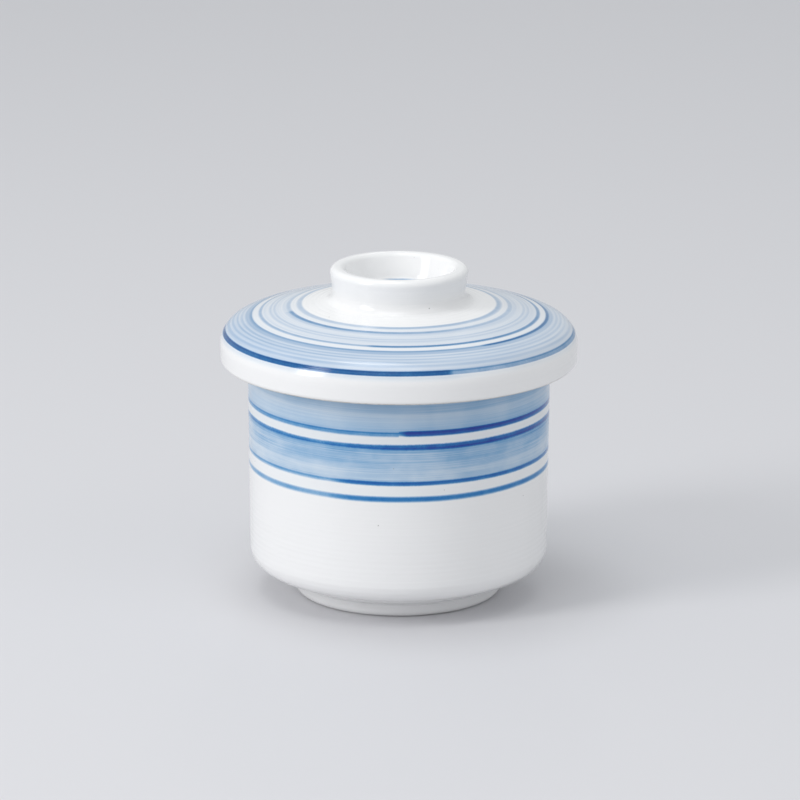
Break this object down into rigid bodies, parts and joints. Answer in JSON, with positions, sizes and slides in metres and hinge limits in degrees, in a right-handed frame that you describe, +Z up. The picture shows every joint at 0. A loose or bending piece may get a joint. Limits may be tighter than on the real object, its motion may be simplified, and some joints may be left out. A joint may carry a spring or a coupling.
{
  "type": "chawanmushi cup with lid",
  "caption": "Straight-sided lidded porcelain cup for steamed custard, with painted blue bands, a turned foot and a domed cover whose ring knob is hollow.",
  "frame": {"origin": "centre of the foot ring on the ground", "axes": "+Z up along the axis of revolution; X and Y are free"},
  "size_m": [0.0874, 0.0874, 0.0816],
  "materials": {
    "cup_glaze": "glossy",
    "lid_glaze": "glossy"
  },
  "bodies": {
    "root": {"cup": "cup_glaze", "lid": "lid_glaze"}
  },
  "joints": []
}
